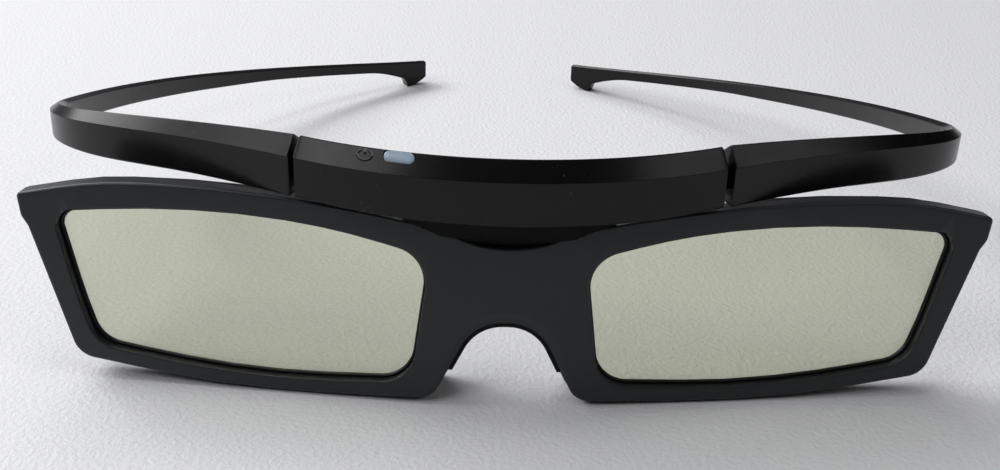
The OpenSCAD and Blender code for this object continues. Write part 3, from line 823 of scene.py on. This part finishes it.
# arms: one swept moulding each, from the joint round to the foot at the tip
arms = {
    "x": 84.8,
    "y": 46.0,
    "drop": 8.4,
    "tipX": 20.4,
    "tipY": 168.5,
    "tipH": 6.7,
    "tipA": radians(42),
    "jointSlope": -0.06,
    "wideSlope": -0.26,
    "tipSlope": -0.1,
    "pull": (29.0, 20.0, 92.0, 10.5),
    "gap": {-1: 0.9, 1: 1.5},
    "foot": 6.2,
    "heel": 7.6,
    "flare": 18.5,
    "toeRise": 2.0,
    "thin": 2.9,
    "heelHeight": 4.8,
    "footDrop": 0.4,
    "frontRings": 44,
    "rearRings": 130,
    "edgeSteps": 5,
    "endChamfer": 0.18,
    "creaseInset": 0.3,
    "sharp": 32,
    # sizes along the arm behind its joint: (share of its length, millimetres)
    "runs": {
        "height": [(0.1, 9.0), (0.18, 8.3), (0.26, 6.7), (0.35, 4.9), (0.55, 4.3), (0.67, 3.8),
                   (0.78, 3.1)],
        "out": [(0.4, 1.5), (1, 2.2)],
        "in": [(0.25, 1.3), (1, 0.8)],
        "crease": [(0.1, 2.3), (0.22, 1.6), (0.32, 0.9), (1, 0.6)],
        "fall": [(0.35, 0.6), (1, 0.3)],
    },
    # fillets: (radius, largest share of the room at that edge)
    "edges": {
        "inner": (0.4, 0.2),
        "bottom": (0.5, 0.25),
        "crease": (0.14, 0.4),
        "ridge": (0.25, 0.4),
        "top": (0.25, 0.5),
    },
}
tenon = {"length": 8.5, "height": 4.2, "thick": 1.5, "edge": 0.25, "edgeSteps": 3, "back": 0.7, "root": 0.9}


def curvePoints(c, count):
    pts = []
    for k in range(count + 1):
        t = k / count
        s = 1 - t
        pts.append(s ** 3 * c[0] + 3 * s * s * t * c[1] + 3 * s * t * t * c[2] + t ** 3 * c[3])
    return pts


def armRidge():
    # two curves along the ridge: joint to the widest place, and on to the tip
    a = bar["a"]
    jointY = bar["y"] + bar["r"] - bar["ridgeR"] * cos(a)
    jointZ = bar["z"] + bar["ridgeH"]
    joint = Vector((bar["ridgeR"] * sin(a), jointY, jointZ))
    wide = Vector((arms["x"], arms["y"], jointZ - arms["drop"]))
    tip = Vector((arms["tipX"], arms["tipY"], arms["tipH"] - stance["lift"]))
    jointDir = Vector((cos(a), sin(a), arms["jointSlope"]))
    wideDir = Vector((0, 1, arms["wideSlope"]))
    tipDir = Vector((-cos(arms["tipA"]), sin(arms["tipA"]), arms["tipSlope"]))
    p = arms["pull"]
    front = (joint, joint + p[0] * jointDir, wide - p[1] * wideDir, wide)
    rear = (wide, wide + p[2] * wideDir, tip - p[3] * tipDir, tip)
    return curvePoints(front, arms["frontRings"]) + curvePoints(rear, arms["rearRings"])[1:]


def armSizes(total):
    # height, reach outwards and inwards, drop of the crease and of the inner edge
    # at the joint they are the bar's own
    deep = bar["depth"] - bar["run"]
    joint = {
        "height": bar["ridgeH"] - bar["r"] * (1 - cos(bar["a"])) * tan(bar["tilt"]),
        "out": bar["run"],
        "in": deep,
        "crease": bar["rise"],
        "fall": bar["backFall"] * deep,
    }
    sizes = {word: [(0, joint[word])] + run for word, run in arms["runs"].items()}
    sizes["height"] += [(1 - arms["flare"] / total, arms["thin"]),
                        (1 - arms["heel"] / total, arms["heelHeight"]),
                        (1 - arms["foot"] / total, arms["tipH"] - arms["footDrop"])]
    return sizes


def armCorners(sizes, u, inset, height):
    # corners of the section: (reach outwards, height from the ridge, fillet)
    def fillet(word, room):
        radius, share = arms["edges"][word]
        return min(radius, room * share)

    out = between(sizes["out"], u) - inset
    deep = between(sizes["in"], u) - inset
    crease = between(sizes["crease"], u)
    fall = between(sizes["fall"], u)
    room = min(out + deep, height)
    return [(-deep, inset - height, fillet("inner", room)),
            (out, inset - height, fillet("bottom", room)),
            (out, -crease - inset * arms["creaseInset"], fillet("crease", crease)),
            (0, -inset, fillet("ridge", crease)),
            (-deep, -fall - inset, fillet("top", fall))]


def buildArm(side, name, node, body):
    ridge = armRidge()
    runs = [0.0]
    for p, q in zip(ridge, ridge[1:]):
        runs.append(runs[-1] + (q - p).length)
    total = runs[-1]
    sizes = armSizes(total)
    start = Vector((cos(bar["a"]), sin(bar["a"]), 0))
    push = arms["gap"][side] * start
    chamfer = arms["endChamfer"]
    last = len(ridge) - 1
    # (ring on the ridge, shift along it, inset): the two ends are chamfered
    stops = [(0, 0.0, chamfer), (0, chamfer, 0.0)] + [(i, 0.0, 0.0) for i in range(1, last)]
    stops += [(last, -chamfer, 0.0), (last, 0.0, chamfer)]
    bm = bmesh.new()
    rows = []
    for i, shift, inset in stops:
        a = ridge[max(i - 1, 0)]
        b = ridge[min(i + 1, last)]
        along = start if i == 0 else Vector((b.x - a.x, b.y - a.y, 0)).normalized()
        p = ridge[i] + shift * along
        left = total - runs[i]
        u = runs[i] / total
        height = between(sizes["height"], u)
        if left < arms["foot"]:
            toe = (1 - left / arms["foot"]) ** 2
            height = p.z + stance["lift"] - arms["toeRise"] * toe
        row = []
        for s in roundedLoop(armCorners(sizes, u, inset, height), count=arms["edgeSteps"]):
            co = onTable(p.x + push.x + along.y * s.x, p.y + push.y - along.x * s.x, p.z + s.y)
            row.append(bm.verts.new((side * co.x, co.y, max(co.z, stance["floor"] * mm))))
        rows.append(row)
    loft(bm, rows)
    addTenon(bm, side)
    return dress(meshPiece(name, bm, body, arms["sharp"]), "arm", "arm_black", node)


def addTenon(bm, side):
    # the flat tongue that plugs into the bar's end
    a = bar["a"]
    gap = arms["gap"][side]
    x0, y0 = barPlan(a, bar["r"] - bar["depth"] / 2 - tenon["back"])
    z0 = bar["z"] + (bar["wall"] + bar["cavityTop"]) / 2 + (y0 - bar["y"]) * tan(bar["tilt"])
    edge = tenon["edge"]
    end = gap - tenon["length"]
    rows = []
    for along, inset in ((end, edge), (end + edge, 0.0), (gap + tenon["root"], 0.0)):
        half = tenon["thick"] / 2 - inset
        tall = tenon["height"] / 2 - inset
        corners = [(-half, -tall, edge), (half, -tall, edge), (half, tall, edge), (-half, tall, edge)]
        row = []
        for p in roundedLoop(corners, count=tenon["edgeSteps"]):
            co = onTable(x0 + cos(a) * along - sin(a) * p.x, y0 + sin(a) * along + cos(a) * p.x, z0 + p.y)
            row.append(bm.verts.new((side * co.x, co.y, co.z)))
        rows.append(row)
    loft(bm, rows)


# lenses: cell and both films as one pane
pane = {"front": 2.4, "rear": 3.9, "lap": 1.2, "edge": 0.08, "sharp": 30}


def buildLens(side, name, word):
    edge = pane["edge"]
    lap = pane["lap"]
    rings = [(lap - edge, pane["front"]), (lap, pane["front"] + edge),
             (lap, pane["rear"] - edge), (lap - edge, pane["rear"])]
    bm = bmesh.new()
    rows = []
    for grow, d in rings:
        loop = roundedLoop(rims["window"], grow)
        rows.append([bm.verts.new(inLensPlane(*windowPoint(side, p, d))) for p in loop])
    loft(bm, rows)
    piece = meshPiece(name, bm, "front", pane["sharp"])
    nodes = (word + "_front_polariser", word + "_lens_cell", word + "_rear_polariser")
    return dress(piece, "lens", "lens_glass", *nodes)


# gaskets: a flat seal under each rim, with a bead round the glass
gasket = {
    "lap": 1.1,
    "front": 2.22,
    "rear": 2.38,
    "bead": ((-0.04, 2.22), (-0.04, 1.95), (-0.12, 1.82), (-0.3, 1.75), (-0.48, 1.82), (-0.58, 1.98)),
    "beadWide": 0.62,
    "sharp": 50,
}


def buildGasket(side, name, node):
    # a closed section of (grow, depth) corners, carried round the window
    section = [(gasket["lap"], gasket["rear"]), (gasket["lap"], gasket["front"]), *gasket["bead"],
               (-gasket["beadWide"], gasket["rear"])]
    bm = bmesh.new()
    rows = []
    for grow, d in section:
        loop = roundedLoop(rims["window"], grow)
        rows.append([bm.verts.new(inLensPlane(*windowPoint(side, p, d))) for p in loop])
    for a, b in zip(rows, rows[1:] + rows[:1]):
        bridgeRings(bm, a, b)
    return dress(meshPiece(name, bm, "front", gasket["sharp"]), "sealRubber", "seal_rubber", node)


made = [
    buildFrame(),
    buildNeck(),
    buildBar(),
    buildKey(),
    buildSymbol(),
    buildArm(-1, "armLeft", "left_arm", "left_arm"),
    buildArm(1, "armRight", "right_arm", "right_arm"),
    buildLens(-1, "lensLeft", "left"),
    buildLens(1, "lensRight", "right"),
    buildGasket(-1, "gasketLeft", "left_lens_gasket"),
    buildGasket(1, "gasketRight", "right_lens_gasket"),
]
print("pieces made,", len(made))

# CAD nodes that keep their own shape
kept = {
    "cover": ["rear_frame", "brow_rear", "battery_cover"],
    "noseRubber": ["nose_piece"],
    "sealRubber": ["cover_seal"],
    "flexAmber": ["left_lens_flex", "right_lens_flex"],
    "boardMask": ["main_board"],
    "chipPackage": ["radio_chip", "lens_driver_chip", "switch_plunger"],
    "platedMetal": ["crystal", "tact_switch", "battery"],
    "ferrite": ["boost_coil"],
    "ceramic": ["board_capacitors"],
    "ledLens": ["status_led"],
    "springBrass": ["battery_positive_contact", "battery_negative_contact"],
    "screwSteel": ["case_screws", "brow_screws"],
}
for finish, names in kept.items():
    for name in names:
        dress(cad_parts[name], finish)
print("CAD nodes dressed")

# stage
table = {
    "size": 6.0,
    "colour": (0.80, 0.80, 0.815),
    "pebble": 1000.0,
    "pebbleDetail": 2.0,
    "pebbleDepth": 0.75,
    "pebbleDistance": 0.0003,
    "gloss": 0.55,
}


def buildTable():
    bm = bmesh.new()
    bmesh.ops.create_grid(bm, x_segments=1, y_segments=1, size=table["size"] / 2)
    top = newObject("tableTop", bm)
    mat, tree, shader = newMaterial("paleTable")
    coord = addNode(tree, "ShaderNodeTexCoord")
    pebble = addNode(tree, "ShaderNodeTexNoise", in_Scale=table["pebble"], in_Detail=table["pebbleDetail"])
    bump = addNode(tree, "ShaderNodeBump", in_Strength=table["pebbleDepth"],
                   in_Distance=table["pebbleDistance"])
    tree.links.new(coord.outputs["Object"], pebble.inputs["Vector"])
    tree.links.new(pebble.outputs["Fac"], bump.inputs["Height"])
    tree.links.new(bump.outputs["Normal"], shader.inputs["Normal"])
    shader.inputs["Base Color"].default_value = (*table["colour"], 1)
    shader.inputs["Roughness"].default_value = table["gloss"]
    top.data.materials.append(mat)


lamps = {
    "windowLeft": {"place": (-1.15, 0.45, 0.9), "size": (1.1, 0.7), "power": 16.0},
    "windowBehind": {"place": (-0.55, 1.0, 1.1), "size": (1.2, 0.5), "power": 7.5},
    "sideLeft": {"place": (-0.79, -0.62, 0.90), "size": (0.6, 0.3), "power": 3.0},
    "sideRight": {"place": (0.87, -0.50, 0.85), "size": (0.7, 0.3), "power": 1.1},
    "softTop": {"place": (-0.1, 0.1, 1.5), "size": (0.5, 0.4), "power": 2.0},
}
room = {
    "dark": (0.05, 0.05, 0.053, 1),
    "bright": (0.95, 0.96, 1.0, 1),
    "side": (-0.4, 0.25, 0.88),
    "from": 0.25,
    "to": 1.0,
    "strength": 0.4,
}


def buildLight():
    for name, look in lamps.items():
        data = bpy.data.lights.new(name, "AREA")
        data.shape = "RECTANGLE"
        data.size = look["size"][0]
        data.size_y = look["size"][1]
        data.energy = look["power"]
        lamp = bpy.data.objects.new(name, data)
        lamp.location = look["place"]
        lamp.rotation_euler = (-Vector(look["place"])).to_track_quat("-Z", "Y").to_euler()
        scene.collection.objects.link(lamp)
    world = bpy.data.worlds.new("room")
    scene.world = world
    world.use_nodes = True
    tree = world.node_tree
    back = tree.nodes["Background"]
    coord = addNode(tree, "ShaderNodeTexCoord")
    facing = addNode(tree, "ShaderNodeVectorMath", operation="DOT_PRODUCT")
    facing.inputs[1].default_value = room["side"]
    spread = addNode(tree, "ShaderNodeMapRange", in_From_Min=room["from"], in_From_Max=room["to"])
    shade = addNode(tree, "ShaderNodeMix", data_type="RGBA")
    shade.inputs["A"].default_value = room["dark"]
    shade.inputs["B"].default_value = room["bright"]
    tree.links.new(coord.outputs["Generated"], facing.inputs[0])
    tree.links.new(facing.outputs["Value"], spread.inputs["Value"])
    tree.links.new(spread.outputs["Result"], shade.inputs["Factor"])
    tree.links.new(shade.outputs["Result"], back.inputs["Color"])
    back.inputs["Strength"].default_value = room["strength"]


shot = {
    "place": (-6.36, -276.84, 126.23),
    "yaw": radians(1.40),
    "pitch": radians(25.89),
    "roll": radians(-2.08),
    "lens": 46.8,
    "sensor": 36.0,
    "near": 0.01,
    "far": 20.0,
}


def buildCamera():
    yaw = shot["yaw"]
    pitch = shot["pitch"]
    roll = shot["roll"]
    ahead = Vector((sin(yaw) * cos(pitch), cos(yaw) * cos(pitch), -sin(pitch)))
    level = Vector((cos(yaw), -sin(yaw), 0))
    below = ahead.cross(level)
    right = cos(roll) * level + sin(roll) * below
    down = cos(roll) * below - sin(roll) * level
    data = bpy.data.cameras.new("shot")
    data.lens = shot["lens"]
    data.sensor_width = shot["sensor"]
    data.clip_start = shot["near"]
    data.clip_end = shot["far"]
    cam = bpy.data.objects.new("shot", data)
    turn = Matrix((right, -down, -ahead)).transposed().to_4x4()
    cam.matrix_world = Matrix.Translation(Vector(shot["place"]) * mm) @ turn
    scene.collection.objects.link(cam)
    scene.camera = cam


buildTable()
buildLight()
buildCamera()
print("stage, light and camera set")
